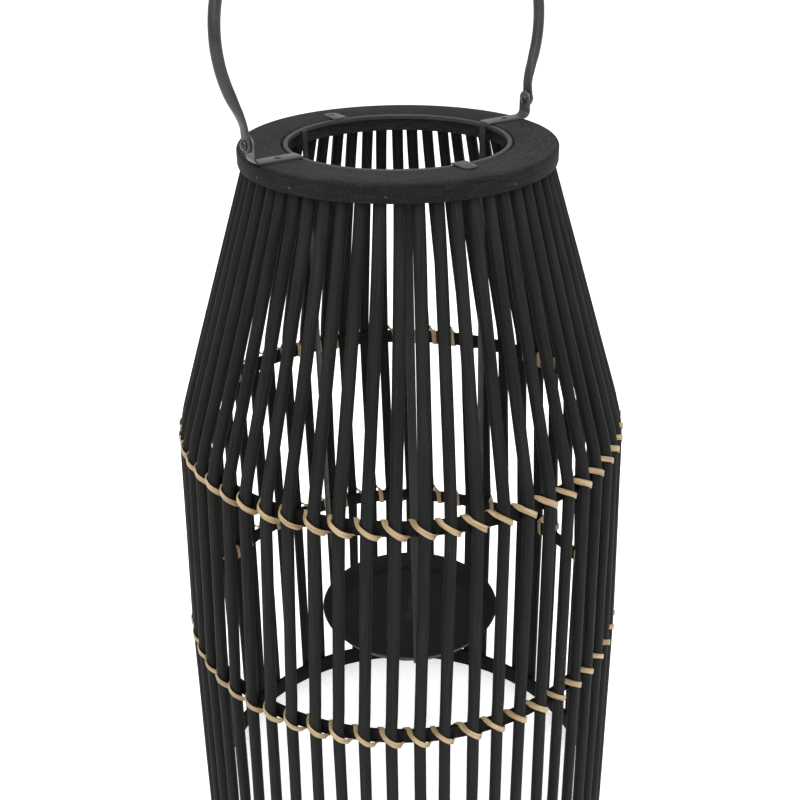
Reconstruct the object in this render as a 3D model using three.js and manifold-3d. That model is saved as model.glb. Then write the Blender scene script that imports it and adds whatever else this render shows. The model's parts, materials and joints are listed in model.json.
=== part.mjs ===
// Garden lantern: a bell-shaped cage of round sticks between a wooden top ring and a bottom hoop.
// Two inner hoops carry the sticks with a spiral lashing. A metal collar in the top ring holds a
// hung candle dish and two brackets, and a round bail handle swings on rivets in the brackets.
// Millimetres, +Z up, origin on the ground at the centre. The handle's pivot axis is along X.
import * as THREE from "three";
import { mergeVertices } from "three/addons/utils/BufferGeometryUtils.js";
import Module from "manifold-3d";

const wasm = await Module();
wasm.setup();

const gap = 0.3; // between pieces that touch

// Sticks
const stickCount = 56;
const stickWidth = 9.2; // across the corners of the six-sided section
const stickFoot = 1;
const stickTop = 567;
const footRadius = 168.8; // stick centreline at each level
const middleRadius = 167;
const waistRadius = 161.1;
const shoulderRadius = 160.3;
const neckRadius = 101.6;
const waistTurn = THREE.MathUtils.degToRad(1.5); // the sticks lean a little round the axis
const neckTurn = THREE.MathUtils.degToRad(3.2);
const bridgeHeight = 565; // middle of the bridge between two sticks' tops
const stickPitch = (2 * Math.PI) / stickCount;
const stickAngle = (index) => (index + 0.25) * stickPitch; // where a stick's foot stands

// Levels and hoops
const bodyHeight = 573.6;
const topRingThickness = 12.8;
const ringUnderside = bodyHeight - topRingThickness;
const waistHeight = 364; // the sticks bend between the waist and the shoulder
const shoulderHeight = 371.2;
const hoopThickness = 3;
const hoopHeight = 11;
const upperHoop = { radius: 156.3, height: 362, stick: waistRadius, turn: waistTurn };
const middleHoop = { radius: 162.6, height: 195, stick: middleRadius, turn: 0 };
const bottomHoop = { radius: 164.4, height: 8.5 };
const bottomHoopHeight = 17;

// Wooden top ring and the metal collar in its hole
const topRingRadius = 108.6;
const topRingBore = 78.6;
const topEdgeRounding = 2.4;
const collarRadius = 77.3;
const collarBore = 73.8;
const collarThickness = 3;

// Straps: brackets with ears, tabs and hangers
const strapWidth = 11;
const strapThickness = 2;
const strapStart = 74.4;
const leftStrapStart = 76.6; // the left bracket stops short on the collar
const earFace = 112; // outer face of an ear, from the centre
const bendRadius = 5.5;
const pivotHeight = bodyHeight + 12.9;
const tabEnd = 91;
const backTabAngle = Math.PI / 2;
const frontTabAngle = THREE.MathUtils.degToRad(-93.5); // a little off square
const hangerWidth = 6;
const hangerThickness = 1.4;
const hangerRadius = collarBore - gap - hangerThickness / 2;
const hangerTop = bodyHeight - 0.9;

// Candle dish
const dishRadius = 71.4;
const dishRim = 190.5;
const dishDepth = 9.5;
const dishFloor = 62.5; // flat of the base, inside its round corner
const dishSheet = 1.5;
const dishCorner = 4;
const hangerGrip = 4; // of a hanger beside the dish's wall
const dishShift = new THREE.Vector3(4.7, -3.1, 0); // the dish hangs a little off centre

// Bail handle, from its pivot
const rodRadius = 3.9;
const eyeOffset = 113.55; // middle of the flattened eye, from the centre
const bailHalfWidth = 125.9;
const bailWidest = 61;
const bailRise = 106;
const bailLean = THREE.MathUtils.degToRad(6);

// Fasteners
const rivetRadius = 2.2;
const rivetHead = 3.3;
const screwRadius = 1.5;
const screwHead = 2.4;
const screwLength = 11;
const bracketScrewAt = 92;
const tabScrewAt = 85.5;

// Lashing strip
const stripWidth = 4.2;
const stripThickness = 0.8;

function material(color, roughness, metalness) {
  return new THREE.MeshStandardMaterial({ color, roughness, metalness });
}

const blackWood = () => material(0x2b2a27, 0.6, 0);
const ringWood = () => material(0x3b3c37, 0.65, 0);
const darkMetal = () => material(0x47494a, 0.42, 0.8);
const blackMetal = () => material(0x1f2021, 0.5, 0.7);
const rattan = () => material(0xcaab74, 0.7, 0);

// A point at an angle round the centre, moved along the tangent there.
function polar(radius, height, angle, along = 0) {
  const c = Math.cos(angle);
  const s = Math.sin(angle);
  return new THREE.Vector3(radius * c - along * s, radius * s + along * c, height);
}

// A solid through a row of sections with equal point counts: capped, or joined end to start.
function loft(sections, closed = false) {
  const size = sections[0].length;
  const positions = sections.flat().flatMap((p) => [p.x, p.y, p.z]);
  const faces = [];
  const last = closed ? sections.length : sections.length - 1;
  for (let i = 0; i < last; i++) {
    const a = i * size;
    const b = ((i + 1) % sections.length) * size;
    for (let j = 0; j < size; j++) {
      const k = (j + 1) % size;
      faces.push(a + j, a + k, b + k, a + j, b + k, b + j);
    }
  }
  if (!closed) {
    const end = (sections.length - 1) * size;
    for (let j = 1; j < size - 1; j++) {
      faces.push(0, j + 1, j, end, end + j, end + j + 1);
    }
  }
  const geometry = new THREE.BufferGeometry();
  geometry.setAttribute("position", new THREE.Float32BufferAttribute(positions, 3));
  geometry.setIndex(faces);
  return facingOut(geometry);
}

function signedVolume(geometry) {
  const point = geometry.attributes.position;
  const index = geometry.index.array;
  const a = new THREE.Vector3();
  const b = new THREE.Vector3();
  const c = new THREE.Vector3();
  let total = 0;
  for (let i = 0; i < index.length; i += 3) {
    a.fromBufferAttribute(point, index[i]);
    b.fromBufferAttribute(point, index[i + 1]);
    c.fromBufferAttribute(point, index[i + 2]);
    total += a.dot(b.cross(c)) / 6;
  }
  return total;
}

function facingOut(geometry) {
  if (signedVolume(geometry) < 0) {
    geometry.index.array.reverse();
  }
  return geometry;
}

// A [radius, height] outline turned once round Z, with a corner at every stick.
function turned(outline) {
  const sections = [];
  for (let i = 0; i < stickCount; i++) {
    sections.push(outline.map(([radius, height]) => polar(radius, height, stickAngle(i))));
  }
  return loft(sections, true);
}

function band(inner, outer, bottom, top) {
  return turned([[inner, bottom], [outer, bottom], [outer, top], [inner, top]]);
}

function solid(geometry) {
  const bare = geometry.clone();
  bare.deleteAttribute("normal");
  bare.deleteAttribute("uv");
  const merged = mergeVertices(bare, 1e-4);
  return new wasm.Manifold(new wasm.Mesh({
    numProp: 3,
    vertProperties: new Float32Array(merged.attributes.position.array),
    triVerts: new Uint32Array(merged.index.array),
  }));
}

function fromSolid(shape) {
  const mesh = shape.getMesh();
  const geometry = new THREE.BufferGeometry();
  geometry.setAttribute("position", new THREE.BufferAttribute(mesh.vertProperties, 3));
  geometry.setIndex(new THREE.BufferAttribute(mesh.triVerts, 1));
  return geometry;
}

function union(geometries) {
  return fromSolid(geometries.map(solid).reduce((whole, next) => whole.add(next)));
}

function cut(geometry, tools) {
  return fromSolid(tools.map(solid).reduce((rest, tool) => rest.subtract(tool), solid(geometry)));
}

// A cylinder along Z, or along X, with its middle at a point.
function rod(radius, length, centre, alongX = false) {
  const geometry = new THREE.CylinderGeometry(radius, radius, length, 16);
  if (alongX) {
    geometry.rotateZ(Math.PI / 2);
  } else {
    geometry.rotateX(Math.PI / 2);
  }
  return geometry.translate(centre.x, centre.y, centre.z);
}

// The stick's centreline as [radius, height, turn round the axis], from the foot up.
const stickSlope = (shoulderRadius - neckRadius) / (ringUnderside - shoulderHeight);
const radiusInRing = (height) => neckRadius - stickSlope * (height - ringUnderside);
const stickLine = [
  [footRadius, stickFoot, 0],
  [middleRadius, middleHoop.height, 0],
  [waistRadius, waistHeight, waistTurn],
  [shoulderRadius, shoulderHeight, waistTurn],
  [radiusInRing(ringUnderside - 9), ringUnderside - 9, neckTurn],
  [radiusInRing(stickTop), stickTop, neckTurn],
];

function stick(angle, line, width) {
  const sections = line.map(([radius, height, lean], i) => {
    const before = line[Math.max(i - 1, 0)];
    const after = line[Math.min(i + 1, line.length - 1)];
    const tilt = Math.atan2(before[0] - after[0], after[1] - before[1]);
    const corners = [];
    for (let k = 0; k < 6; k++) {
      const turn = (k * Math.PI) / 3;
      const across = (width / 2) * Math.sin(turn);
      const along = (width / 2) * Math.cos(turn);
      const lift = across * Math.sin(tilt);
      corners.push(polar(radius + across * Math.cos(tilt), height + lift, angle + lean, along));
    }
    return corners;
  });
  return loft(sections);
}

// Two neighbouring sticks joined at their tops by a bridge that is hidden in the top ring.
// The same shape made larger cuts the socket that the pair stands in.
function stickPair(index, grow = 0) {
  const left = stickAngle(2 * index + 1);
  const right = stickAngle(2 * index);
  const middle = (left + right) / 2;
  const line = grow === 0 ? stickLine : [
    [radiusInRing(ringUnderside - 9), ringUnderside - 9, neckTurn],
    [radiusInRing(stickTop + grow), stickTop + grow, neckTurn],
  ];
  const width = stickWidth + 2.4 * grow;
  const bridge = new THREE.BoxGeometry(4 + 2 * grow, 6, 3 + 2 * grow);
  const centre = polar(radiusInRing(bridgeHeight), bridgeHeight, middle + neckTurn);
  bridge.rotateZ(middle + neckTurn).translate(centre.x, centre.y, centre.z);
  return [stick(right, line, width), stick(left, line, width), bridge];
}

// A strip that winds once round the hoop at each stick: over the stick's outside, falling from
// left to right, then under the hoop, up behind it and out over its top. Each point of a turn is
// given along the hoop, outward from the stick's centre and up, with the way the strip faces.
function lashing(hoop) {
  const face = hoop.radius - hoop.stick;
  const behind = face - hoopThickness - gap - stripThickness - 0.1;
  const edge = hoopHeight / 2;
  const turn = [
    { at: [-8.8, face + 1, edge + 1.6], face: [-0.15, 0.6, 0.8] },
    { at: [-3.5, 5.2, 3.9], face: [-0.45, 0.9, 0] },
    { at: [3.5, 5.2, -0.6], face: [0.45, 0.9, 0] },
    { at: [8.5, face + 1, -edge - 1.6], face: [0.15, 0.6, -0.8] },
    { at: [8.8, behind, -edge - 1], face: [0, -0.6, -0.8] },
    { at: [9.2, behind, edge + 1], face: [0, -0.6, 0.8] },
  ];
  const path = [];
  for (let i = 0; i < stickCount; i++) {
    const angle = stickAngle(i) + hoop.turn;
    turn.forEach(({ at: [along, out, rise], face }) => {
      const here = angle + along / hoop.stick;
      const point = polar(hoop.stick + out, hoop.height + rise, here);
      path.push({ point, facing: polar(face[1], face[2], here, face[0]).normalize() });
    });
  }
  const sections = path.map(({ point, facing }, i) => {
    const before = path[(i + path.length - 1) % path.length].point;
    const after = path[(i + 1) % path.length].point;
    const wide = after.clone().sub(before).cross(facing).setLength(stripWidth / 2);
    const thick = facing.clone().multiplyScalar(stripThickness / 2);
    return [[1, 1], [-1, 1], [-1, -1], [1, -1]].map(([w, t]) => (
      point.clone().addScaledVector(wide, w).addScaledVector(thick, t)
    ));
  });
  return loft(sections, true);
}

function topRing() {
  const edge = [0, 30, 60, 90].map((degrees) => {
    const turn = THREE.MathUtils.degToRad(degrees);
    return [
      topRingRadius - topEdgeRounding + topEdgeRounding * Math.sin(turn),
      bodyHeight - topEdgeRounding + topEdgeRounding * Math.cos(turn),
    ];
  });
  const ring = turned([
    [topRingBore, ringUnderside],
    [topRingBore, bodyHeight],
    ...edge,
    [topRingRadius, ringUnderside + 1],
    [topRingRadius - 1, ringUnderside],
  ]);
  const sockets = [];
  for (let i = 0; i < stickCount / 2; i++) {
    sockets.push(...stickPair(i, gap));
  }
  const pilots = [
    ...[0, Math.PI].map((angle) => screwHole(bracketScrewAt, angle)),
    ...[backTabAngle, frontTabAngle].map((angle) => screwHole(tabScrewAt, angle)),
  ];
  return cut(ring, [...sockets, ...pilots]);
}

function screwHole(radius, angle) {
  const depth = screwLength + strapThickness;
  const centre = polar(radius, bodyHeight + strapThickness + 1 - depth / 2, angle);
  return rod(screwRadius + gap, depth, centre);
}

// A strap screwed to the wood that turns up outside the ring into a round-topped ear.
function bracket(angle, start) {
  const low = bodyHeight + gap;
  const high = low + strapThickness;
  const bendAt = earFace - bendRadius;
  const side = new THREE.Shape();
  side.moveTo(start, low);
  side.lineTo(bendAt, low);
  side.absarc(bendAt, low + bendRadius, bendRadius, -Math.PI / 2, 0, false);
  side.lineTo(earFace, pivotHeight);
  side.lineTo(earFace - strapThickness, pivotHeight);
  side.absarc(bendAt, low + bendRadius, bendRadius - strapThickness, 0, -Math.PI / 2, true);
  side.lineTo(start, high);
  const settings = { depth: strapWidth, bevelEnabled: false, curveSegments: 4 };
  const strap = new THREE.ExtrudeGeometry(side, settings);
  strap.rotateX(Math.PI / 2).translate(0, strapWidth / 2, 0);
  const top = new THREE.CylinderGeometry(strapWidth / 2, strapWidth / 2, strapThickness, 20);
  top.rotateZ(Math.PI / 2).translate(earFace - strapThickness / 2, 0, pivotHeight);
  const hole = rod(rivetRadius + gap, 12, new THREE.Vector3(earFace, 0, pivotHeight), true);
  const shape = cut(union([strap, top]), [hole, screwHole(bracketScrewAt, 0)]);
  return shape.rotateZ(angle);
}

// A short strap with a round end that clamps the collar to the wood.
function tab(angle) {
  const half = strapWidth / 2;
  const outline = new THREE.Shape();
  outline.moveTo(strapStart, -half);
  outline.lineTo(tabEnd - half, -half);
  outline.absarc(tabEnd - half, 0, half, -Math.PI / 2, Math.PI / 2, false);
  outline.lineTo(strapStart, half);
  const settings = { depth: strapThickness, bevelEnabled: false, curveSegments: 10 };
  const plate = new THREE.ExtrudeGeometry(outline, settings).translate(0, 0, bodyHeight + gap);
  return cut(plate, [screwHole(tabScrewAt, 0)]).rotateZ(angle);
}

// A flat strap from inside the collar straight down to the dish's wall.
function hanger(angle) {
  const inner = hangerRadius - hangerThickness / 2;
  const outer = hangerRadius + hangerThickness / 2;
  const section = (height, shift) => [[inner, -1], [outer, -1], [outer, 1], [inner, 1]].map(
    ([radius, side]) => polar(radius, height, angle, (side * hangerWidth) / 2).add(shift),
  );
  return loft([section(dishRim - hangerGrip, dishShift), section(hangerTop, new THREE.Vector3())]);
}

// A shallow spun pan whose wall opens outwards from a round corner.
function candleDish() {
  const base = dishRim - dishDepth;
  const corner = (radius) => [0, 20, 40, 60].map((degrees) => {
    const turn = THREE.MathUtils.degToRad(degrees);
    return [dishFloor + radius * Math.sin(turn), base + dishCorner - radius * Math.cos(turn)];
  });
  const outline = [
    [0, base],
    ...corner(dishCorner),
    [dishRadius, dishRim],
    [dishRadius - 1.2 * dishSheet, dishRim],
    ...corner(dishCorner - dishSheet).reverse(),
    [0, base + dishSheet],
  ];
  const points = outline.map(([radius, height]) => new THREE.Vector2(radius, height));
  return new THREE.LatheGeometry(points, 48).rotateX(Math.PI / 2);
}

// Half of the bail as a row of sections from the eye to the crown. A section is an ellipse:
// wide is its half-size across the bail, deep its half-size in the bail's plane.
function bailHalf() {
  const flat = [
    { height: -4.9, wide: 1.6, deep: 1.25 },
    { height: -3.8, wide: 3.3, deep: 1.25 },
    { height: 0, wide: 4.9, deep: 1.25 },
    { height: 4.5, wide: 4.4, deep: 1.25 },
  ].map((row) => ({ ...row, point: new THREE.Vector3(eyeOffset, 0, row.height) }));
  const arm = new THREE.CubicBezierCurve3(
    new THREE.Vector3(eyeOffset, 0, 8),
    new THREE.Vector3(eyeOffset, 0, 20),
    new THREE.Vector3(bailHalfWidth, 0, 33),
    new THREE.Vector3(bailHalfWidth, 0, bailWidest),
  );
  const rows = [...flat];
  const armSteps = 7;
  for (let i = 0; i <= armSteps; i++) {
    const point = arm.getPoint(i / armSteps);
    const round = THREE.MathUtils.smoothstep(point.z, 8, 32);
    const wide = THREE.MathUtils.lerp(3.7, rodRadius, round);
    rows.push({ point, wide, deep: THREE.MathUtils.lerp(1.5, rodRadius, round) });
  }
  const crownSteps = 9;
  for (let i = 1; i <= crownSteps; i++) {
    const turn = (i / crownSteps) * (Math.PI / 2);
    const point = new THREE.Vector3(
      bailHalfWidth * Math.cos(turn),
      0,
      bailWidest + bailRise * Math.sin(turn),
    );
    rows.push({ point, wide: rodRadius, deep: rodRadius });
  }
  return rows;
}

function bail() {
  const half = bailHalf();
  const mirrored = half.slice(0, -1).reverse().map((row) => (
    { ...row, point: new THREE.Vector3(-row.point.x, 0, row.point.z) }
  ));
  const rows = [...half, ...mirrored];
  const sections = rows.map(({ point, wide, deep }, i) => {
    const before = rows[Math.max(i - 1, 0)].point;
    const after = rows[Math.min(i + 1, rows.length - 1)].point;
    const along = after.clone().sub(before).normalize();
    const ring = [];
    for (let k = 0; k < 8; k++) {
      const turn = ((k + 0.5) * Math.PI) / 4;
      const inPlane = (deep / Math.cos(Math.PI / 8)) * Math.cos(turn);
      const across = (wide / Math.cos(Math.PI / 8)) * Math.sin(turn);
      ring.push(new THREE.Vector3(point.x + along.z * inPlane, across, point.z - along.x * inPlane));
    }
    return ring;
  });
  const eyes = [1, -1].map((side) => (
    rod(rivetRadius + gap, 12, new THREE.Vector3(side * eyeOffset, 0, 0), true)
  ));
  return cut(loft(sections), eyes);
}

// A rivet through an ear and the bail's eye: domed head outside, a small closed head inside.
function rivet(side) {
  const tail = earFace - strapThickness - gap;
  const head = eyeOffset + 1.35 + gap;
  const outline = [
    [0, tail - 1.3],
    [2, tail - 1.3],
    [2.9, tail - 0.6],
    [2.9, tail],
    [rivetRadius, tail],
    [rivetRadius, head],
    [rivetHead, head],
    [rivetHead, head + 0.7],
    [2.2, head + 1.7],
    [0, head + 2.1],
  ].map(([radius, height]) => new THREE.Vector2(radius, height));
  const geometry = new THREE.LatheGeometry(outline, 16).rotateX(Math.PI / 2);
  return geometry.rotateY((side * Math.PI) / 2).translate(0, 0, pivotHeight);
}

// A round-headed wood screw through a strap into the top ring.
function screw(radius, angle) {
  const seat = bodyHeight + 2 * gap + strapThickness;
  const tip = seat - screwLength;
  const outline = [
    [0, tip],
    [screwRadius, tip + 2],
    [screwRadius, seat],
    [screwHead, seat],
    [screwHead, seat + 0.3],
    [1.6, seat + 0.7],
    [0, seat + 0.8],
  ].map(([r, height]) => new THREE.Vector2(r, height));
  const at = polar(radius, 0, angle);
  return new THREE.LatheGeometry(outline, 12).rotateX(Math.PI / 2).translate(at.x, at.y, 0);
}

const lantern = new THREE.Group();

function add(name, geometry, finish, parent = lantern) {
  const mesh = new THREE.Mesh(geometry, finish);
  mesh.name = name;
  parent.add(mesh);
  return mesh;
}

const hoopBand = (hoop, height) => band(
  hoop.radius - hoopThickness,
  hoop.radius,
  hoop.height - height / 2,
  hoop.height + height / 2,
);

add("top_ring", topRing(), ringWood());
add("upper_hoop", hoopBand(upperHoop, hoopHeight), blackWood());
add("middle_hoop", hoopBand(middleHoop, hoopHeight), blackWood());
add("bottom_hoop", hoopBand(bottomHoop, bottomHoopHeight), blackWood());
add("upper_lashing", lashing(upperHoop), rattan());
add("middle_lashing", lashing(middleHoop), rattan());
for (let i = 0; i < stickCount / 2; i++) {
  add(`stick_pair_${String(i + 1).padStart(2, "0")}`, union(stickPair(i)), blackWood());
}

const collarTop = bodyHeight - gap;
add("collar_ring", band(collarBore, collarRadius, collarTop - collarThickness, collarTop), darkMetal());
add("right_bracket", bracket(0, strapStart), darkMetal());
add("left_bracket", bracket(Math.PI, leftStrapStart), darkMetal());
add("back_tab", tab(backTabAngle), darkMetal());
add("front_tab", tab(frontTabAngle), darkMetal());
add("right_bracket_screw", screw(bracketScrewAt, 0), blackMetal());
add("left_bracket_screw", screw(bracketScrewAt, Math.PI), blackMetal());
add("back_tab_screw", screw(tabScrewAt, backTabAngle), blackMetal());
add("front_tab_screw", screw(tabScrewAt, frontTabAngle), blackMetal());
for (let i = 0; i < 3; i++) {
  add(`dish_hanger_${i + 1}`, hanger((i * 2 * Math.PI) / 3), blackMetal());
}
add("candle_dish", candleDish(), blackMetal()).position.copy(dishShift);
add("right_rivet", rivet(1), blackMetal());
add("left_rivet", rivet(-1), blackMetal());

const handle = new THREE.Group();
handle.position.z = pivotHeight;
handle.rotation.x = -bailLean;
lantern.add(handle);
add("bail_handle", bail(), blackMetal(), handle);

export default lantern;
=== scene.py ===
"""Garden lantern of black sticks: the finished look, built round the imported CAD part.

Metres, in the part's own frame: +Z up, X along the handle's pivot axis, ground at z = 0.
"""
import json
import math
import random

import bmesh
import bpy
from mathutils import Matrix, Vector, noise


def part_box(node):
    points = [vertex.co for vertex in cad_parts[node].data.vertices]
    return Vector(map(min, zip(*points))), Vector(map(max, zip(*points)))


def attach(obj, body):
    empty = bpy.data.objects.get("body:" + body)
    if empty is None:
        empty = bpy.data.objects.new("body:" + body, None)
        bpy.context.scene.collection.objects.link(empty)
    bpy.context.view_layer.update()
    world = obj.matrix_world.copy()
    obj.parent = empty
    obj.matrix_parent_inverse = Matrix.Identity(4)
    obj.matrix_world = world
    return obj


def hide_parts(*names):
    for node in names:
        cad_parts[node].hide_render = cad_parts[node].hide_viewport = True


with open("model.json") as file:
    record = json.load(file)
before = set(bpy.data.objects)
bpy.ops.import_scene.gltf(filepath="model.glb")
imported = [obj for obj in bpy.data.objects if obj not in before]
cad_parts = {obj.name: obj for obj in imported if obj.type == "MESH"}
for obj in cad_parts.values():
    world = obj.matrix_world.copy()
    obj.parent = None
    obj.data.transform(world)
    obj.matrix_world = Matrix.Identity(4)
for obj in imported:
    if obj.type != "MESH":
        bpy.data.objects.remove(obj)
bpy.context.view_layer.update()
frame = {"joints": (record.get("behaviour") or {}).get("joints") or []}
random.seed(11)

MM = 0.001
TURN = 2 * math.pi
UP = Vector((0, 0, 1))

# Levels and places taken from the CAD nodes
RING_LOW, RING_TOP = (corner.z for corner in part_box("top_ring"))
RING_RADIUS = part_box("top_ring")[1].y
COLLAR_LOW, COLLAR_TOP = (corner.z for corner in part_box("collar_ring"))
COLLAR_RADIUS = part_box("collar_ring")[1].y
PIVOT = Vector(frame["joints"][0]["pos_m"])
DISH_LOW, DISH_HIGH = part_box("candle_dish")
DISH_CENTRE = (DISH_LOW + DISH_HIGH) / 2
DISH_RADIUS = (DISH_HIGH.x - DISH_LOW.x) / 2

# Sizes
STICKS = 56
PITCH = TURN / STICKS
STICK_RADIUS = 4.2 * MM
HOOP_THICKNESS = 3.0                    # mm, as used by the lashing
RING_BORE = 78.6 * MM
COLLAR_WIDTH = 3.1 * MM
TAB_START, TAB_END = 74.4 * MM, 91 * MM     # from over the collar to the round end
TAB_HALF_WIDTH = 5.5 * MM
BRACKET_PLATE, TAB_PLATE = 1.4 * MM, 1.1 * MM
STRAP_LIFT = 0.1 * MM                   # between a strap and the wood under it
HANGER_RADIUS, HANGER_HALF_WIDTH, HANGER_PLATE = 72.8 * MM, 3.0 * MM, 1.4 * MM
SHARP_EDGE = math.radians(48)           # sharper edges than this stay crisp


# ---------------------------------------------------------------- meshes

def polar(radius, angle, height, along=0.0):
    """A point round the centre, moved along the tangent there."""
    c, s = math.cos(angle), math.sin(angle)
    return Vector((radius * c - along * s, radius * s + along * c, height))


def smoothstep(low, high, value):
    """0 at low and 1 at high, with a soft start and end."""
    t = min(max((value - low) / (high - low), 0.0), 1.0)
    return t * t * (3 - 2 * t)


def linear(levels, at):
    """The value at a level, from a list of (level, value) pairs."""
    for (a, va), (b, vb) in zip(levels, levels[1:]):
        if at <= b:
            return va + (vb - va) * (at - a) / (b - a)
    (a, va), (b, vb) = levels[-2:]
    return va + (vb - va) * (at - a) / (b - a)


def loft(name, sections, material, closed=False, seed=0.0, body="lantern"):
    """A solid through sections of equal size. Its grain runs from section to section: the corner
    attribute holds the distance round the section, the distance along, and a seed."""
    size, rows = len(sections[0]), len(sections)
    mesh = bpy.data.meshes.new(name)
    faces, grain = [], []
    around = [0.0]
    for j in range(size):
        step = (sections[rows // 2][(j + 1) % size] - sections[rows // 2][j]).length
        around.append(around[-1] + step)
    lengthwise = [0.0]
    for i in range(rows):
        here = sum(sections[i], Vector()) / size
        there = sum(sections[(i + 1) % rows], Vector()) / size
        lengthwise.append(lengthwise[-1] + (there - here).length)
    for i in range(rows if closed else rows - 1):
        for j in range(size):
            a, b = i * size, (i + 1) % rows * size
            k = (j + 1) % size
            faces.append((a + j, a + k, b + k, b + j))
            for row, column in ((i, j), (i, j + 1), (i + 1, j + 1), (i + 1, j)):
                grain.append((around[column], lengthwise[row], seed))
    if not closed:
        faces.append(tuple(reversed(range(size))))
        grain += [(around[j], 0.0, seed + 3) for j in range(size)]
        last = (rows - 1) * size
        faces.append(tuple(range(last, last + size)))
        grain += [(around[j], 0.0, seed + 5) for j in range(size)]
    mesh.from_pydata([tuple(p) for row in sections for p in row], [], faces)
    attribute = mesh.attributes.new("grain", "FLOAT_VECTOR", "CORNER")
    attribute.data.foreach_set("vector", [x for point in grain for x in point])
    return finish_piece(name, mesh, material, body)


def finish_piece(name, mesh, material, body):
    """Faces outwards, shades smooth with sharp corners kept, and rides on the body."""
    bm = bmesh.new()
    bm.from_mesh(mesh)
    bmesh.ops.recalc_face_normals(bm, faces=bm.faces)
    for edge in bm.edges:
        sharp = len(edge.link_faces) == 2 and edge.calc_face_angle(0) > SHARP_EDGE
        edge.smooth = not sharp
    for face in bm.faces:
        face.smooth = True
    bm.to_mesh(mesh)
    bm.free()
    mesh.materials.append(material)
    piece = bpy.data.objects.new(name, mesh)
    bpy.context.scene.collection.objects.link(piece)
    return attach(piece, body)


def rounded(half_wide, half_thick, corner, steps=3):
    """Points of a rectangle with round corners, as (wide, thick)."""
    points = []
    for cx, cy, start in ((1, 1, 0), (-1, 1, 90), (-1, -1, 180), (1, -1, 270)):
        for k in range(steps + 1):
            turn = math.radians(start + 90 * k / steps)
            points.append((
                cx * (half_wide - corner) + corner * math.cos(turn),
                cy * (half_thick - corner) + corner * math.sin(turn),
            ))
    return points


def turned(name, outline, material, centre=Vector(), segments=180, wobble=0.0, seed=0.0):
    """A closed outline of (radius, height) turned round Z. wobble is how uneven its radius is."""
    sections = []
    for i in range(segments):
        angle = TURN * i / segments
        swell = wobble * noise.noise(Vector((math.cos(angle) * 2, math.sin(angle) * 2, seed)))
        sections.append([centre + polar(r + swell, angle, z) for r, z in outline])
    return loft(name, sections, material, closed=True, seed=seed)


# ---------------------------------------------------------------- materials

def shader(name, roughness, metallic=0.0, specular=0.5):
    """A new material, with its node tree and its Principled shader."""
    material = bpy.data.materials.new(name)
    material.use_nodes = True
    principled = material.node_tree.nodes["Principled BSDF"]
    principled.inputs["Roughness"].default_value = roughness
    principled.inputs["Metallic"].default_value = metallic
    principled.inputs["Specular IOR Level"].default_value = specular
    return material, material.node_tree, principled


def grain_noise(tree, scale, detail=4.0, roughness=0.55, source="grain"):
    """Noise, with a scale in repeats for each metre: round, along and seed of the grain, or x, y
    and z of the object."""
    if source == "grain":
        place = tree.nodes.new("ShaderNodeAttribute")
        place.attribute_name = "grain"
        place = place.outputs["Vector"]
    else:
        place = tree.nodes.new("ShaderNodeTexCoord").outputs["Object"]
    mapping = tree.nodes.new("ShaderNodeMapping")
    mapping.inputs["Scale"].default_value = scale
    tree.links.new(place, mapping.inputs["Vector"])
    texture = tree.nodes.new("ShaderNodeTexNoise")
    texture.inputs["Scale"].default_value = 1.0
    texture.inputs["Detail"].default_value = detail
    texture.inputs["Roughness"].default_value = roughness
    tree.links.new(mapping.outputs["Vector"], texture.inputs["Vector"])
    return texture.outputs["Fac"]


def ramp(tree, factor, stops):
    """A colour for each value of factor, from a list of (value, colour)."""
    node = tree.nodes.new("ShaderNodeValToRGB")
    elements = node.color_ramp.elements
    while len(elements) < len(stops):
        elements.new(0.5)
    for element, (place, colour) in zip(elements, stops):
        element.position = place
        element.color = (*colour, 1.0)
    tree.links.new(factor, node.inputs["Fac"])
    return node.outputs["Color"]


def mixed(tree, factor, a, b, blend="MIX"):
    """A colour mix. factor is a number or a socket, and a and b are sockets or colours."""
    node = tree.nodes.new("ShaderNodeMix")
    node.data_type = "RGBA"
    node.blend_type = blend
    for value, socket in ((factor, node.inputs[0]), (a, node.inputs[6]), (b, node.inputs[7])):
        if isinstance(value, bpy.types.NodeSocket):
            tree.links.new(value, socket)
        elif isinstance(value, tuple):
            socket.default_value = (*value, 1.0)
        else:
            socket.default_value = value
    return node.outputs[2]


def spread(tree, factor, low, high):
    """Maps a 0.3 to 0.7 noise to the range from low to high."""
    node = tree.nodes.new("ShaderNodeMapRange")
    node.inputs["From Min"].default_value = 0.3
    node.inputs["From Max"].default_value = 0.7
    node.inputs["To Min"].default_value = low
    node.inputs["To Max"].default_value = high
    tree.links.new(factor, node.inputs["Value"])
    return node.outputs["Result"]


def bump(tree, principled, height, distance, strength):
    """Fine relief, up to distance metres deep, from a height of 0 to 1."""
    node = tree.nodes.new("ShaderNodeBump")
    node.inputs["Distance"].default_value = distance
    node.inputs["Strength"].default_value = strength
    tree.links.new(height, node.inputs["Height"])
    tree.links.new(node.outputs["Normal"], principled.inputs["Normal"])


def facing_outward(tree):
    """Radius in metres, times how squarely a face looks away from the axis: about 0.1 on the
    wooden ring's outer side, 0 on its top and below 0 in its hole."""
    spot = tree.nodes.new("ShaderNodeTexCoord").outputs["Object"]
    level = tree.nodes.new("ShaderNodeVectorMath")
    level.operation = "MULTIPLY"
    level.inputs[1].default_value = (1.0, 1.0, 0.0)
    tree.links.new(spot, level.inputs[0])
    dot = tree.nodes.new("ShaderNodeVectorMath")
    dot.operation = "DOT_PRODUCT"
    tree.links.new(level.outputs["Vector"], dot.inputs[0])
    tree.links.new(tree.nodes.new("ShaderNodeNewGeometry").outputs["Normal"], dot.inputs[1])
    return dot.outputs["Value"]


WHITE, BLACK = (1.0, 1.0, 1.0), (0.0, 0.0, 0.0)


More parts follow.
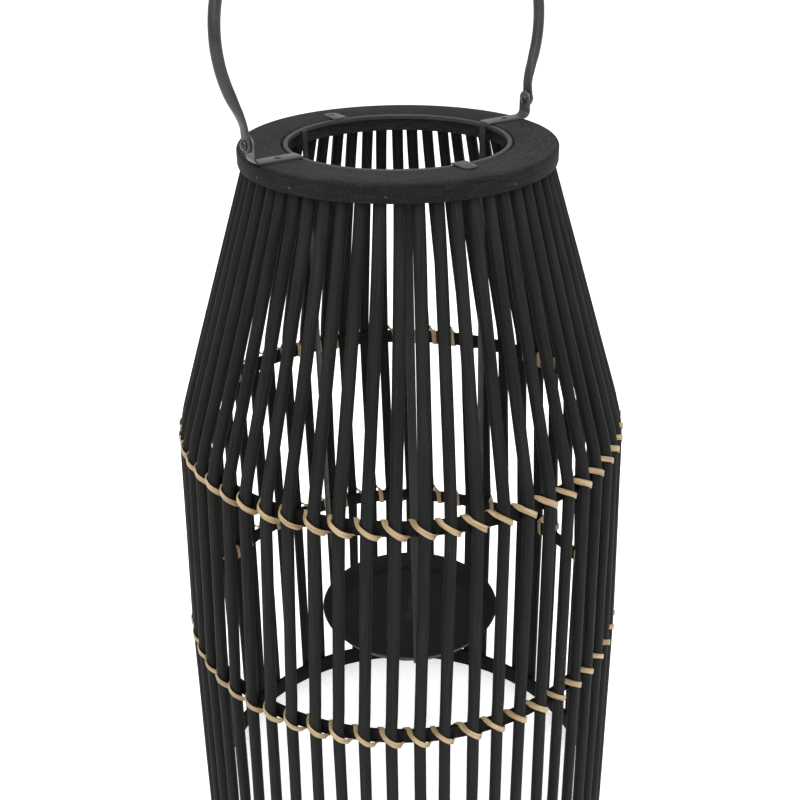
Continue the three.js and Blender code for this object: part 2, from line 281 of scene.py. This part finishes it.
def stained_wood(name, dark, light, fibre, roughness, specular, mottle=0.0):
    """Wood under a thin dark stain: fine fibres along the grain, slow tone changes, rubbed spots.
    mottle is for sanded wood: it adds blotches, and turns on painted shade that makes a ring's
    outer side darker than its top."""
    material, tree, principled = shader(name, roughness[0], specular=specular)
    fibres = grain_noise(tree, fibre, detail=5.0, roughness=0.6)
    tone = grain_noise(tree, (30.0, 9.0, 17.0), detail=2.0)
    colour = ramp(tree, fibres, [(0.32, dark), (0.72, light)])
    shade = ramp(tree, tone, [(0.35, (0.72, 0.72, 0.72)), (0.65, (1.12, 1.09, 1.05))])
    colour = mixed(tree, 1.0, colour, shade, "MULTIPLY")
    if mottle:
        blotches = grain_noise(tree, (420.0, 420.0, 11.0), detail=5.0, roughness=0.7)
        shade = ramp(tree, blotches, [(0.36, (0.55, 0.55, 0.56)), (0.64, (1.35, 1.35, 1.3))])
        colour = mixed(tree, mottle, colour, mixed(tree, 1.0, colour, shade, "MULTIPLY"))
        bump(tree, principled, blotches, 0.0002, 0.6)
        # Painted shade: faces that look away from the axis, the ring's outer side, are made darker
        # than its top, as the light falls there.
        shade = ramp(tree, facing_outward(tree), [(0.02, WHITE), (0.09, (0.6, 0.6, 0.62))])
        colour = mixed(tree, 1.0, colour, shade, "MULTIPLY")
    specks = grain_noise(tree, (700.0, 160.0, 11.0), detail=2.0)
    rubbed = ramp(tree, specks, [(0.70, BLACK), (0.80, WHITE)])
    worn = tuple(c * 1.9 for c in light)
    colour = mixed(tree, mixed(tree, 0.6, BLACK, rubbed), colour, worn)
    tree.links.new(colour, principled.inputs["Base Color"])
    tree.links.new(spread(tree, tone, *roughness), principled.inputs["Roughness"])
    if not mottle:
        bump(tree, principled, fibres, 0.00012, 0.8)
    return material


def split_cane(name):
    """Split cane: pale glossy outer bark with lengthwise fibres and some browner turns."""
    material, tree, principled = shader(name, 0.5, specular=0.4)
    fibres = grain_noise(tree, (1500.0, 30.0, 5.0), detail=3.0)
    turns = grain_noise(tree, (2.0, 38.0, 3.0), detail=1.0)
    colour = ramp(tree, fibres, [(0.36, (0.172, 0.110, 0.052)), (0.47, (0.33, 0.244, 0.133)),
                                 (0.66, (0.432, 0.341, 0.203))])
    shade = ramp(tree, turns, [(0.35, (0.78, 0.72, 0.64)), (0.6, (1.08, 1.06, 1.02))])
    colour = mixed(tree, 1.0, colour, shade, "MULTIPLY")
    tree.links.new(colour, principled.inputs["Base Color"])
    tree.links.new(spread(tree, turns, 0.42, 0.62), principled.inputs["Roughness"])
    bump(tree, principled, fibres, 0.00015, 0.7)
    return material


def painted_steel(name, colour, edge, roughness, metallic, specular=0.5):
    """Steel under thin dark paint: mottled sheen, fine brushing, and lighter rubbed edges."""
    material, tree, principled = shader(name, roughness, metallic, specular)
    mottle = grain_noise(tree, (90.0, 90.0, 90.0), detail=4.0, source="object")
    fine = grain_noise(tree, (900.0, 900.0, 900.0), detail=3.0, source="object")
    darker = tuple(c * 0.72 for c in colour)
    base = ramp(tree, mottle, [(0.35, darker), (0.65, colour)])
    pointed = tree.nodes.new("ShaderNodeNewGeometry").outputs["Pointiness"]
    worn = ramp(tree, pointed, [(0.53, BLACK), (0.62, (0.8, 0.8, 0.8))])
    base = mixed(tree, worn, base, edge)
    tree.links.new(base, principled.inputs["Base Color"])
    tree.links.new(spread(tree, mottle, roughness - 0.08, roughness + 0.12),
                   principled.inputs["Roughness"])
    bump(tree, principled, fine, 0.00006, 0.6)
    return material


STICK_WOOD = stained_wood("stick_wood", (0.0070, 0.0072, 0.0072), (0.0192, 0.0194, 0.0192),
                          (1500.0, 26.0, 7.0), (0.55, 0.75), 0.06)
HOOP_WOOD = stained_wood("hoop_wood", (0.0045, 0.0044, 0.0043), (0.0115, 0.0110, 0.0100),
                         (1300.0, 20.0, 7.0), (0.55, 0.75), 0.06)
RING_WOOD = stained_wood("ring_wood", (0.0112, 0.0118, 0.0112), (0.0305, 0.0315, 0.0298),
                         (900.0, 60.0, 7.0), (0.6, 0.8), 0.06, mottle=0.8)
CANE = split_cane("cane")
GREY_STEEL = painted_steel("grey_steel", (0.042, 0.044, 0.045), (0.11, 0.115, 0.118), 0.42, 0.4)
COLLAR_STEEL = painted_steel("collar_steel", (0.036, 0.037, 0.038), (0.11, 0.115, 0.118),
                             0.45, 0.3, specular=0.3)
BLACK_STEEL = painted_steel("black_steel", (0.0085, 0.0085, 0.009), (0.03, 0.03, 0.03), 0.45, 0.2)
DISH_STEEL = painted_steel("dish_steel", (0.0052, 0.0052, 0.0055), (0.018, 0.018, 0.019),
                           0.6, 0.0, specular=0.2)
RIVET_STEEL = painted_steel("rivet_steel", (0.016, 0.016, 0.018), (0.10, 0.10, 0.11), 0.26, 0.5)
HANDLE_STEEL = painted_steel("handle_steel", (0.031, 0.034, 0.037), (0.105, 0.109, 0.117),
                             0.36, 0.4)


# ---------------------------------------------------------------- sticks

# By height in mm: distance of the sticks from the axis, how far they lean round it in degrees,
# and the most that a stick strays along the hoops.
STICK_LINE = [(1, 168.8), (195, 167.0), (364, 161.1), (371.2, 160.3), (560, 101.6)]
STICK_TURN = [(195, 0.0), (364, 1.5), (371.2, 1.5), (550, 3.2), (560, 3.2)]
STICK_STRAY = [(1, 1.7), (195, 1.0), (362, 0.9), (559, 0.8)]
WAIST, MIDDLE = 362.0, 195.0            # heights of the two lashings
STICK_TOP = 567.0                       # inside the top ring
BEND_LOW, BEND_HIGH = 340, 395          # the sticks bend between these, so rows are closer there
FIRST_STICK = 0.25                      # how far round from +X, in steps from stick to stick
STICK_SIDES = 16


def softened(levels, at, reach=14.0):
    """The value at a level, averaged over a short stretch so that a bend is round."""
    spots = [at + reach * k / 3 for k in range(-3, 4)]
    return sum(linear(levels, spot) for spot in spots) / len(spots)


SWAY = [[(level, random.uniform(-size, size)) for level, size in STICK_STRAY]
        for _ in range(STICKS)]


def stick_angle(index, height):
    """The way round the axis where a stick's centre is, at a height in millimetres."""
    radius = softened(STICK_LINE, height)
    turn = softened(STICK_TURN, height, 12.0) if height > MIDDLE + 12 else 0.0
    sway = softened(SWAY[index], height, 20.0) / radius
    return (index + FIRST_STICK) * PITCH + math.radians(turn) + sway


def stick_point(index, height):
    """The centre of a stick at a height in millimetres."""
    radius = softened(STICK_LINE, height)
    return polar(radius * MM, stick_angle(index, height), height * MM)


def make_stick(index):
    """A round stick, a little uneven in thickness, with a soft bend above the waist."""
    heights = [0.6, 1.2]
    while heights[-1] < STICK_TOP - 1:
        near_bend = BEND_LOW < heights[-1] < BEND_HIGH
        heights.append(heights[-1] + (4.0 if near_bend else 12.0))
    heights[-1] = STICK_TOP
    sections = []
    for row, height in enumerate(heights):
        here = stick_point(index, height)
        tangent = (stick_point(index, height + 1) - stick_point(index, height - 1)).normalized()
        side = polar(0, stick_angle(index, height), 0, 1)
        out = tangent.cross(side).normalized()
        size = STICK_RADIUS * (1 + 0.045 * noise.noise(Vector((index * 3.1, height * 0.013, 0))))
        if row == 0:                    # the foot's edge is rubbed round
            size *= 0.84
        ring = []
        for k in range(STICK_SIDES):
            turn = TURN * k / STICK_SIDES
            lump = 1 + 0.02 * noise.noise(Vector((index * 7.3, k * 0.9, height * 0.03)))
            ring.append(here + (side * math.cos(turn) + out * math.sin(turn)) * size * lump)
        sections.append(ring)
    piece = loft(f"stick_{index + 1:02d}", sections, STICK_WOOD, seed=index * 1.37)
    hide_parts(f"stick_pair_{index // 2 + 1:02d}")


for number in range(STICKS):
    make_stick(number)


# ---------------------------------------------------------------- hoops

def make_hoop(node, wobble, seed):
    """A flat wooden band on edge."""
    low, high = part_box(node)
    half_thick, half_high = HOOP_THICKNESS / 2 * MM, (high.z - low.z) / 2
    middle = (low.z + high.z) / 2
    outline = [(high.y - half_thick + t, middle + w)
               for t, w in rounded(half_thick, half_high, 0.7 * MM)]
    piece = turned(node + "_wood", outline, HOOP_WOOD, wobble=wobble * MM, seed=seed)
    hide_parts(node)


make_hoop("upper_hoop", 0.2, 2.0)
make_hoop("middle_hoop", 0.2, 4.0)
make_hoop("bottom_hoop", 0.3, 6.0)


# ---------------------------------------------------------------- lashing

def catmull(a, b, c, d, t):
    """A smooth curve from b to c, with a before them and d after."""
    return 0.5 * (2 * b + (c - a) * t + (2 * a - 5 * b + 4 * c - d) * t * t
                  + (3 * b - a - 3 * c + d) * t * t * t)


def lashing_turn(stick_out):
    """One turn as (along, out from the stick's centre, up) with the way the strip faces, in mm.
    stick_out is the stick's centre, measured out from the hoop's outer face."""
    face, back = -stick_out, -stick_out - HOOP_THICKNESS
    return [
        ((-7.4, (face + back) / 2, 5.9), (0.0, 0.0, 1.0)),
        ((-6.9, face + 0.5, 5.9), (-0.15, 0.6, 0.9)),
        ((-5.2, 1.5, 5.6), (-0.5, 0.9, 0.2)),
        ((-2.7, 4.15, 4.6), (-0.4, 1.0, 0.05)),
        ((0.0, 4.8, 2.7), (0.0, 1.0, 0.0)),
        ((2.7, 4.25, 0.5), (0.4, 1.0, 0.0)),
        ((5.0, 1.9, -2.0), (0.65, 0.8, 0.0)),
        ((6.8, -1.4, -4.5), (0.85, 0.5, 0.0)),
        ((7.7, face + 0.5, -5.7), (0.6, 0.6, -0.4)),
        ((8.2, (face + back) / 2, -5.95), (0.0, 0.0, -1.0)),
        ((8.6, back - 0.3, -5.8), (0.0, -0.7, -0.9)),
        ((9.1, back - 0.65, -2.5), (0.0, -1.0, 0.0)),
        ((9.6, back - 0.65, 2.5), (0.0, -1.0, 0.0)),
        ((10.0, back - 0.3, 5.7), (0.0, -0.7, 0.9)),
    ]


STRIP_HALF_WIDTH, STRIP_HALF_THICK = 2.0, 0.4 * MM
STRIP_SECTION = [(1.0, 0.0), (0.92, 0.75), (0.5, 1.0), (0.0, 1.08), (-0.5, 1.0), (-0.92, 0.75),
                 (-1.0, 0.0), (-0.9, -0.9), (0.0, -1.0), (0.9, -0.9)]
FIRST_STEP_BEHIND = 9                   # of a turn: from here on the strip is behind the hoop


def lashing_knots(hoop, level):
    """The whole winding as (place, way it faces, half width in mm). Turns differ a little."""
    hoop_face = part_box(hoop)[1].y / MM
    radius = softened(STICK_LINE, level)
    knots = []
    for index in range(STICKS):
        angle = stick_angle(index, level)
        tilt = random.uniform(-0.35, 0.35)
        turn = lashing_turn(radius - hoop_face)
        for step, ((along, out, up), facing) in enumerate(turn):
            inside = step == 0 or step >= FIRST_STEP_BEHIND
            spot = angle + along / radius
            lift = up * (1 + 0.06 * tilt) + (0.0 if inside else tilt)
            knots.append((
                polar((radius + out) * MM, spot, (level + lift) * MM),
                polar(facing[1], spot, facing[2], facing[0]).normalized(),
                STRIP_HALF_WIDTH + 0.15 * math.sin(index * 2.3) - (0.1 if inside else 0.0),
            ))
    return knots


def make_lashing(node, hoop, level, seed):
    """A flat strip wound once round its hoop at every stick."""
    knots = lashing_knots(hoop, level)
    count, steps = len(knots), 3
    centres, facings, halves = [], [], []
    for i in range(count):
        a, b, c, d = (knots[(i + k - 1) % count] for k in range(4))
        for s in range(steps):
            t = s / steps
            centres.append(catmull(a[0], b[0], c[0], d[0], t))
            facings.append(b[1].lerp(c[1], t).normalized())
            halves.append((b[2] + (c[2] - b[2]) * t) * MM)
    sections = []
    total = len(centres)
    for i, (centre, facing, half) in enumerate(zip(centres, facings, halves)):
        along = centres[(i + 1) % total] - centres[i - 1]
        wide = along.cross(facing).normalized()
        thick = wide.cross(along).normalized()
        if thick.dot(facing) < 0:
            thick = -thick
        sections.append([centre + wide * (half * w) + thick * (STRIP_HALF_THICK * h)
                         for w, h in STRIP_SECTION])
    piece = loft(node + "_strip", sections, CANE, closed=True, seed=seed)
    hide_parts(node)


make_lashing("upper_lashing", "upper_hoop", WAIST, 1.0)
make_lashing("middle_lashing", "middle_hoop", MIDDLE, 9.0)


# ---------------------------------------------------------------- top ring and collar

def make_top_ring():
    """A flat wooden ring with its outer top edge rounded."""
    bore, outer = RING_BORE, RING_RADIUS
    edge, small = 2.6 * MM, 1.0 * MM
    outline = [(bore, RING_LOW + small), (bore, RING_TOP - small), (bore + small, RING_TOP)]
    for k in range(7):
        turn = math.radians(15 * k)
        outline.append((outer - edge + edge * math.sin(turn),
                        RING_TOP - edge + edge * math.cos(turn)))
    outline += [(outer, RING_LOW + 2 * small), (outer - small * 0.4, RING_LOW + small * 0.5)]
    outline += [(outer - small * 1.5, RING_LOW), (bore + small, RING_LOW)]
    piece = turned("top_ring_wood", outline, RING_WOOD, segments=232, wobble=0.25 * MM, seed=8.0)
    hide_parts("top_ring")


def make_collar():
    """A flat steel ring with rounded edges, inside the wooden one."""
    inner = COLLAR_RADIUS - COLLAR_WIDTH
    middle, half = (inner + COLLAR_RADIUS) / 2, (COLLAR_RADIUS - inner) / 2
    height = (COLLAR_LOW + COLLAR_TOP) / 2
    outline = [(middle + w, height + t)
               for w, t in rounded(half, (COLLAR_TOP - COLLAR_LOW) / 2, 0.7 * MM)]
    piece = turned("collar_ring_steel", outline, COLLAR_STEEL, seed=12.0)
    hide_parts("collar_ring")


make_top_ring()
make_collar()


# ---------------------------------------------------------------- flat metalwork

def strip(name, path, halves, thickness, material, up, corner=0.35 * MM):
    """A flat bar through path points, with a half width at each; up points out of its face."""
    sections = []
    for i, (point, half) in enumerate(zip(path, halves)):
        along = path[min(i + 1, len(path) - 1)] - path[max(i - 1, 0)]
        wide = along.cross(up[i]).normalized()
        thick = wide.cross(along).normalized()
        edge = min(corner, half * 0.4, thickness * 0.4)
        sections.append([point + wide * w + thick * t
                         for w, t in rounded(half, thickness / 2, edge)])
    return loft(name, sections, material)


def round_end(distance, half):
    """The half width at a distance from a bar's round end."""
    if distance >= half:
        return half
    return max(math.sqrt(max(half * half - (half - distance) ** 2, 0.0)), half * 0.12)


def make_bracket(side, node):
    """A strap on the wood that turns up outside the ring into a round ear."""
    low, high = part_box(node)
    half = (high.y - low.y) / 2
    top = high.z
    face = max(abs(low.x), abs(high.x)) - 1.0 * MM
    start = min(abs(low.x), abs(high.x))
    level = RING_TOP + STRAP_LIFT + BRACKET_PLATE / 2
    bend = 4.5 * MM
    flat_rows, bend_rows, ear_rows = 13, 5, 17
    path, up = [], []
    for k in range(flat_rows):
        path.append(Vector((start + (face - bend - start) * k / (flat_rows - 1), 0, level)))
        up.append(UP)
    for k in range(1, bend_rows + 1):
        turn = math.radians(90 * k / (bend_rows + 1))
        path.append(Vector((face - bend + bend * math.sin(turn), 0,
                            level + bend - bend * math.cos(turn))))
        up.append(Vector((-math.sin(turn), 0, math.cos(turn))))
    rise = top - 0.05 * MM - (level + bend)
    for k in range(ear_rows):           # closer together towards the round top
        reach = 1 - (1 - k / (ear_rows - 1)) ** 1.6
        path.append(Vector((face, 0, level + bend + rise * reach)))
        up.append(Vector((-1, 0, 0)))
    halves = []
    for i, point in enumerate(path):
        from_top = top - point.z if i >= flat_rows else 1.0
        wear = 0.12 * MM * noise.noise(Vector((i * 0.5, side * 5, 0)))
        halves.append(round_end(from_top, half) + wear * (from_top > half))
    turn = Matrix.Rotation(0 if side > 0 else math.pi, 3, "Z")
    piece = strip(node + "_steel", [turn @ p for p in path], halves, BRACKET_PLATE, GREY_STEEL,
                  [turn @ u for u in up])
    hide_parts(node)


def make_tab(node, angle):
    """A short strap with a round outer end."""
    level = RING_TOP + STRAP_LIFT + TAB_PLATE / 2
    rows = 22
    path, halves = [], []
    for k in range(rows):               # closer together towards the round end
        reach = 1 - (1 - k / (rows - 1)) ** 1.8
        radius = TAB_START + (TAB_END - TAB_START) * reach
        path.append(polar(radius, angle, level))
        halves.append(round_end(TAB_END - radius, TAB_HALF_WIDTH))
    piece = strip(node + "_steel", path, halves, TAB_PLATE, GREY_STEEL, [UP] * len(path))
    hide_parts(node)


def make_hanger(node, angle):
    """A thin strap from the collar down to the dish, which hangs a little off centre."""
    low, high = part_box(node)
    offset = Vector((DISH_CENTRE.x, DISH_CENTRE.y, 0))
    top = polar(HANGER_RADIUS, angle, high.z)
    foot = polar(HANGER_RADIUS, angle, low.z) + offset
    path, halves, up = [], [], []
    side = polar(0, angle, 0, 1)
    rows = 41
    for k in range(rows):
        t = k / (rows - 1)
        sway = 0.5 * MM * math.sin(math.pi * t) * math.sin(angle * 2 + 1)
        path.append(foot.lerp(top, t) + side * sway)
        halves.append(HANGER_HALF_WIDTH * (1 + 0.02 * noise.noise(Vector((k * 0.7, angle, 2)))))
        up.append(polar(1, angle, 0))
    piece = strip(node + "_steel", path, halves, HANGER_PLATE, BLACK_STEEL, up, 0.3 * MM)
    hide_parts(node)


make_bracket(1, "right_bracket")
make_bracket(-1, "left_bracket")
make_tab("back_tab", math.pi / 2)
make_tab("front_tab", math.radians(-93.5))
for hanger in range(3):
    make_hanger(f"dish_hanger_{hanger + 1}", hanger * TURN / 3)


# ---------------------------------------------------------------- dish

def make_dish():
    """A shallow spun pan: a sloping wall, a rolled rim and a faint ring pressed in its floor."""
    low, high = DISH_LOW.z, DISH_HIGH.z
    sheet, corner, outer = 1.5 * MM, 4.0 * MM, DISH_RADIUS
    flat = 62.5 * MM                    # of the base, inside its round corner
    outline = [(r * MM, low) for r in (0.02, 10, 25, 40, 52)]
    for k in range(7):
        turn = math.radians(10 * k)
        outline.append((flat + corner * math.sin(turn), low + corner - corner * math.cos(turn)))
    outline += [(outer - 0.5 * MM, high - 1.2 * MM), (outer, high - 0.6 * MM)]
    outline += [(outer - 0.3 * MM, high - 0.1 * MM), (outer - 1.0 * MM, high)]
    outline += [(outer - 1.8 * MM, high - 0.4 * MM)]
    inner = corner - sheet
    for k in range(6, -1, -1):
        turn = math.radians(10 * k)
        outline.append((flat + inner * math.sin(turn), low + corner - inner * math.cos(turn)))
    floor = low + sheet
    outline += [(56 * MM, floor), (55 * MM, floor + 0.35 * MM), (53 * MM, floor + 0.35 * MM)]
    outline += [(52 * MM, floor)] + [(r * MM, floor) for r in (40, 25, 10, 0.02)]
    centre = Vector((DISH_CENTRE.x, DISH_CENTRE.y, 0))
    piece = turned("candle_dish_steel", outline, DISH_STEEL, centre, 144, seed=15.0)
    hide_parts("candle_dish")


make_dish()


# ---------------------------------------------------------------- bail handle

# In millimetres from the pivot's middle
HANDLE_LEAN = math.radians(6)
EYE = 113.55                            # how far out the flat eyes are
HALF_WIDTH, WIDEST = 125.9, 61.0        # of the arch, and the height where it is widest
RISE = 106.0                            # from there to the crown
ROD = 3.9                               # half the rod's thickness
PADDLE_WIDTH, PADDLE_THICK = 4.3, 1.35  # the same for its flattened ends
EYE_WIDTH, EYE_THICK = 4.95, 1.25       # and for the round eyes at their tips
ROD_SIDES = 20


def handle_half():
    """Rows from the eye to the crown: (point in mm, half size across, half size in plane)."""
    rows = []
    for height in (-4.95, -4.7, -4.2, -3.4, -2.4, -1.2, 0, 1.5, 3, 4.5, 6):
        wide = EYE_WIDTH - 0.07 * height
        if height < 0:
            wide = round_end(height + 5.0, EYE_WIDTH)
        rows.append((Vector((EYE, 0, height)), wide, EYE_THICK))
    a, b = Vector((EYE, 0, 8)), Vector((EYE, 0, 20))
    c, d = Vector((HALF_WIDTH, 0, 33)), Vector((HALF_WIDTH, 0, WIDEST))
    for k in range(25):                 # from the flat eye to the round rod
        t = k / 24
        point = a * (1 - t) ** 3 + b * 3 * t * (1 - t) ** 2 + c * 3 * t * t * (1 - t) + d * t ** 3
        full = smoothstep(8, 32, point.z)
        neck = 0.15 * math.exp(-((point.z - 13) / 4) ** 2)
        rows.append((point, PADDLE_WIDTH + (ROD - PADDLE_WIDTH) * full - neck,
                     PADDLE_THICK + (ROD - PADDLE_THICK) * full))
    for k in range(1, 33):              # a quarter of an ellipse up to the crown
        turn = math.pi / 2 * k / 32
        point = Vector((HALF_WIDTH * math.cos(turn), 0, WIDEST + RISE * math.sin(turn)))
        rows.append((point, ROD, ROD))
    return rows


def make_handle():
    """A round rod bent into an arch, with its ends hammered flat into eyes."""
    half = handle_half()
    mirror = [(Vector((-p.x, 0, p.z)), w, d) for p, w, d in reversed(half[:-1])]
    rows = half + mirror
    lean = Matrix.Rotation(-HANDLE_LEAN, 3, "X")
    sections = []
    for i, (point, wide, deep) in enumerate(rows):
        along = (rows[min(i + 1, len(rows) - 1)][0] - rows[max(i - 1, 0)][0]).normalized()
        flat = smoothstep(3.6, 1.4, deep)
        ring = []
        for k in range(ROD_SIDES):
            turn = TURN * k / ROD_SIDES
            c, s = math.cos(turn), math.sin(turn)
            power = 1 - 0.45 * flat
            in_plane = deep * math.copysign(abs(c) ** power, c)
            across = wide * math.copysign(abs(s) ** power, s)
            dent = 0.14 * flat * noise.noise(Vector((point.x * 0.2, across * 0.5, point.z * 0.35)))
            out = in_plane * (1 + dent)
            spot = Vector((point.x + along.z * out, across, point.z - along.x * out))
            ring.append(PIVOT + lean @ spot * MM)
        sections.append(ring)
    piece = loft("bail_handle_rod", sections, HANDLE_STEEL, seed=18.0, body="handle")
    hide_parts("bail_handle")


make_handle()


# ---------------------------------------------------------------- fasteners

SLOT_REACH, SLOT_HALF_WIDTH = 1.9, 0.42     # mm


def knob(name, outline, place, axis, material, slots=0.0, segments=32):
    """A small turned solid along an axis, from an outline in mm. slots is the depth of a cross
    recess in its head."""
    turn = UP.rotation_difference(axis).to_matrix()
    sections = []
    for i in range(segments):
        angle = TURN * i / segments
        row = []
        for radius, height in outline:
            x, y = radius * math.cos(angle), radius * math.sin(angle)
            sunk = 0.0
            in_cross = radius < SLOT_REACH and min(abs(x), abs(y)) < SLOT_HALF_WIDTH
            if slots and height > 0 and in_cross:
                sunk = slots
            row.append(place + turn @ (Vector((x, y, height - sunk)) * MM))
        sections.append(row)
    return loft(name, sections, material, closed=True)


SCREW_DOME = [(2.4, 0.0), (2.35, 0.3), (2.15, 0.5), (1.9, 0.6), (1.8, 0.63), (1.4, 0.7),
              (0.9, 0.76), (0.45, 0.79), (0.01, 0.8)]
SCREW_DOME_SCALE = 0.6                  # flattens the dome


def make_screw(node, plate, finish):
    """A wood screw through a strap, with a flat domed head."""
    low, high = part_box(node)
    place = Vector(((low.x + high.x) / 2, (low.y + high.y) / 2, RING_TOP + STRAP_LIFT + plate))
    depth = (low.z - place.z) / MM
    outline = [(0.01, depth), (1.4, depth + 2), (1.5, 0.0)]
    outline += [(r, h * SCREW_DOME_SCALE) for r, h in SCREW_DOME]
    piece = knob(node + "_head", outline, place, UP, finish, slots=0.3)
    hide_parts(node)


def make_rivet(node, side):
    """A rivet closed on the ear: domed head outside the handle's eye, hammered tail inside."""
    low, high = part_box(node)
    outer = max(abs(low.x), abs(high.x)) / MM
    inner = min(abs(low.x), abs(high.x)) / MM
    place = Vector((side * outer * MM, 0, PIVOT.z))
    head, tail = outer - 2.1, inner + 1.3
    shank = 2.2
    outline = [(0.01, inner), (1.6, inner + 0.1), (2.6, inner + 0.5), (2.9, tail - 0.2)]
    outline += [(2.9, tail), (shank, tail), (shank, head), (3.3, head), (3.3, head + 0.5)]
    outline += [(3.0, head + 1.05), (2.4, head + 1.5), (1.5, head + 1.9), (0.7, head + 2.05)]
    outline += [(0.01, head + 2.1)]
    outline = [(r, z - outer) for r, z in outline]
    piece = knob(node + "_steel", outline, place, Vector((side, 0, 0)), RIVET_STEEL)
    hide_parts(node)


make_screw("right_bracket_screw", BRACKET_PLATE, BLACK_STEEL)
make_screw("left_bracket_screw", BRACKET_PLATE, BLACK_STEEL)
make_screw("back_tab_screw", TAB_PLATE, GREY_STEEL)
make_screw("front_tab_screw", TAB_PLATE, GREY_STEEL)
make_rivet("right_rivet", 1)
make_rivet("left_rivet", -1)


def make_nail(index, angle, height):
    """A small nail head in the wooden ring's side, set in as deep as the side is uneven."""
    axis = polar(1, angle, 0)
    place = polar(RING_RADIUS - 0.35 * MM, angle, height)
    outline = [(0.01, -1.0), (0.9, -1.0), (0.9, 0.15), (0.8, 0.35), (0.5, 0.45), (0.01, 0.5)]
    piece = knob(f"ring_nail_{index + 1:02d}", outline, place, axis, BLACK_STEEL, segments=16)


NAIL_START = -179                       # degrees, and the uneven gaps from nail to nail
NAIL_GAPS = (17, 34, 46, 27, 21, 38, 24, 42, 19, 33, 28, 31)
nail_turn = NAIL_START
for nail, gap in enumerate(NAIL_GAPS):
    nail_turn += gap
    make_nail(nail, math.radians(nail_turn), RING_TOP - random.uniform(7.0, 9.0) * MM)


# ---------------------------------------------------------------- studio

FLOOR_HALF_SIZE, FLOOR_GLOW, WORLD_GLOW = 30.0, 0.52, 0.7

# Name, place, height aimed at on the axis, size in metres, watts
LIGHTS = [
    ("key", (-1.35, 0.5, 1.9), 0.35, 1.2, 7),
    ("fill", (1.3, -0.6, 1.8), 0.35, 1.2, 12),
    ("top", (-0.4, -0.6, 2.3), 0.5, 1.6, 40),
    ("front", (-0.7, -1.05, 1.35), 0.52, 0.9, 5),
]


def make_floor():
    """White paper that glows a little, so that it stays plain white under the soft lights."""
    mesh = bpy.data.meshes.new("studio_floor")
    size = FLOOR_HALF_SIZE
    mesh.from_pydata([(-size, -size, 0), (size, -size, 0), (size, size, 0), (-size, size, 0)],
                     [], [(0, 1, 2, 3)])
    material, tree, principled = shader("floor_paper", 0.9, specular=0.1)
    principled.inputs["Emission Color"].default_value = (*WHITE, 1.0)
    principled.inputs["Emission Strength"].default_value = FLOOR_GLOW
    paper = grain_noise(tree, (2.0, 2.0, 2.0), source="object")
    tree.links.new(ramp(tree, paper, [(0.3, (0.93, 0.93, 0.93)), (0.7, (0.96, 0.96, 0.96))]),
                   principled.inputs["Base Color"])
    mesh.materials.append(material)
    floor = bpy.data.objects.new("studio_floor", mesh)
    bpy.context.scene.collection.objects.link(floor)


def area_light(name, place, aim, size, watts):
    """A square soft light that the camera doesn't see."""
    data = bpy.data.lights.new(name, "AREA")
    data.energy = watts
    data.shape = "RECTANGLE"
    data.size = data.size_y = size
    lamp = bpy.data.objects.new(name, data)
    lamp.location = place
    lamp.rotation_euler = (UP * aim - Vector(place)).to_track_quat("-Z", "Y").to_euler()
    lamp.visible_camera = False
    bpy.context.scene.collection.objects.link(lamp)


def make_studio():
    """Floor, lights and an even white surrounding."""
    make_floor()
    scene = bpy.context.scene
    scene.view_settings.view_transform = "Standard"
    world = bpy.data.worlds.new("studio")
    world.use_nodes = True
    background = world.node_tree.nodes["Background"]
    background.inputs["Color"].default_value = (*WHITE, 1.0)
    background.inputs["Strength"].default_value = WORLD_GLOW
    scene.world = world
    for light in LIGHTS:
        area_light(*light)


CAMERA_HEADING = math.radians(34)       # from +Y towards +X
CAMERA_PITCH = math.radians(26.64)      # downwards
CAMERA_ROLL = -0.012                    # radians
CAMERA_DISTANCE, CAMERA_HEIGHT = 0.7688, 0.7621
CAMERA_ASIDE = -0.00051                 # from the axis to the camera's right
CAMERA_LENS, CAMERA_SENSOR = 51.42, 36  # mm


def make_camera():
    """The camera stands in front of the object, 19 cm above its top ring, and looks down."""
    facing, pitch, roll = CAMERA_HEADING, CAMERA_PITCH, CAMERA_ROLL
    data = bpy.data.cameras.new("camera")
    data.sensor_width = CAMERA_SENSOR
    data.lens = CAMERA_LENS
    data.clip_start = 0.01
    camera = bpy.data.objects.new("camera", data)
    ahead = Vector((math.sin(facing) * math.cos(pitch), math.cos(facing) * math.cos(pitch),
                    -math.sin(pitch)))
    right = Vector((math.cos(facing), -math.sin(facing), 0))
    away = Vector((math.sin(facing), math.cos(facing), 0))
    camera.location = right * CAMERA_ASIDE - away * CAMERA_DISTANCE + UP * CAMERA_HEIGHT
    up = right.cross(ahead)
    basis = Matrix((right, up, -ahead)).transposed()
    camera.rotation_euler = (basis @ Matrix.Rotation(roll, 3, "Z")).to_euler()
    bpy.context.scene.collection.objects.link(camera)
    bpy.context.scene.camera = camera


make_studio()
make_camera()
